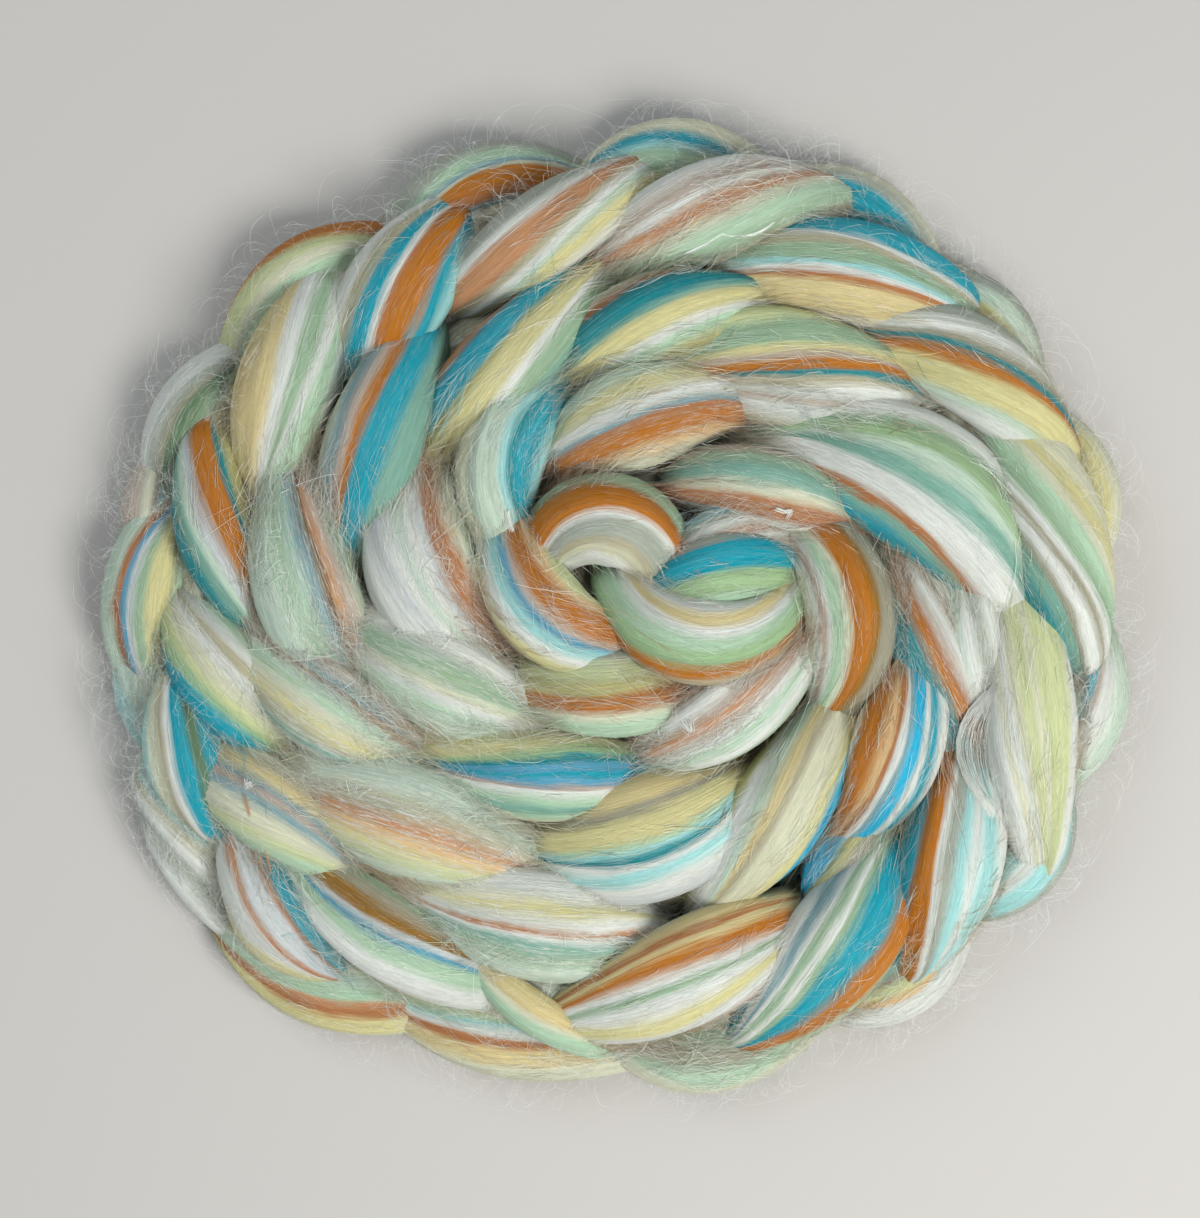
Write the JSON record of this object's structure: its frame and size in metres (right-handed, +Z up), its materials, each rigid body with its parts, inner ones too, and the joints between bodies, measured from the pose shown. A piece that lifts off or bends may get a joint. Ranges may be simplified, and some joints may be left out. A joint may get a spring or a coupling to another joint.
{
  "type": "braid of wool roving",
  "caption": "Chain-plaited braid of soft combed wool roving, wound into a flat round coil that lies on a table.",
  "frame": {"origin": "centre of the coil's bounding box, on the plane it rests on", "axes": "+Z up out of the flat coil, +Y towards the top of the picture, +X to its right"},
  "size_m": [0.2539, 0.2396, 0.0399],
  "materials": {
    "wool": "silky combed fibre in long stripes of cream, sage, mint, ochre, burnt orange and turquoise"
  },
  "bodies": {
    "root": {"roving_braid": "wool"}
  },
  "joints": []
}
